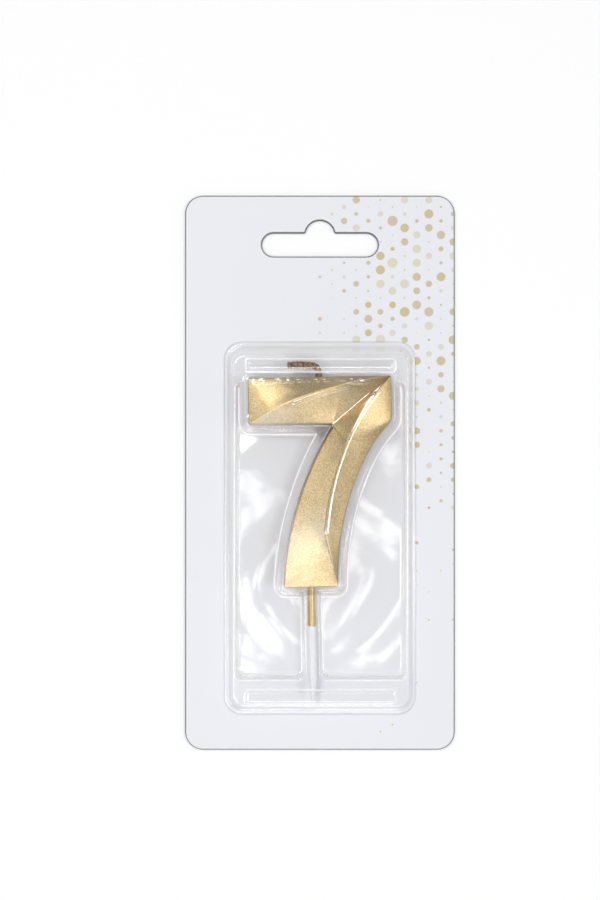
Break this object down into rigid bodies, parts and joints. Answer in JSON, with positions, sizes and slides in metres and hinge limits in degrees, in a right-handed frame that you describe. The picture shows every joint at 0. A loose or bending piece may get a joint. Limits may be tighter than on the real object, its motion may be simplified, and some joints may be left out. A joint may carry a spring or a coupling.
{
  "type": "number candle",
  "caption": "Faceted gold figure 7 cake candle with a curled wick and a clear pick, held in a clear formed blister on a hanging card with a centring slot.",
  "frame": {"origin": "middle of the back card's back face, which is the middle of the whole pack's footprint", "axes": "+X to the right across the card, +Y up the card towards the hanging slot, +Z out of the card's printed front"},
  "size_m": [0.0746, 0.153, 0.0132],
  "materials": {
    "white_board": "coated white paperboard",
    "clear_film": "clear formed film",
    "gold_wax": "wax with a pale gold metallic lacquer",
    "gold_cotton": "braided cotton, lacquered gold",
    "clear_plastic": "clear moulded plastic, its top third lacquered gold"
  },
  "bodies": {
    "back": {"back_card": "white_board"},
    "front": {"front_card": "white_board", "blister": "clear_film"},
    "candle": {"numeral": "gold_wax", "wick": "gold_cotton", "pick": "clear_plastic"}
  },
  "joints": [
    {"name": "front_lift", "type": "slide", "parent": "back", "child": "front", "axis": [0, 0, 1], "range_m": [0, 0.06]},
    {"name": "candle_lift", "type": "slide", "parent": "back", "child": "candle", "axis": [0, 0, 1], "range_m": [0, 0.03]}
  ],
  "couplings": [
    {"joint": "candle_lift", "follows": "front_lift", "ratio": 0.5}
  ]
}
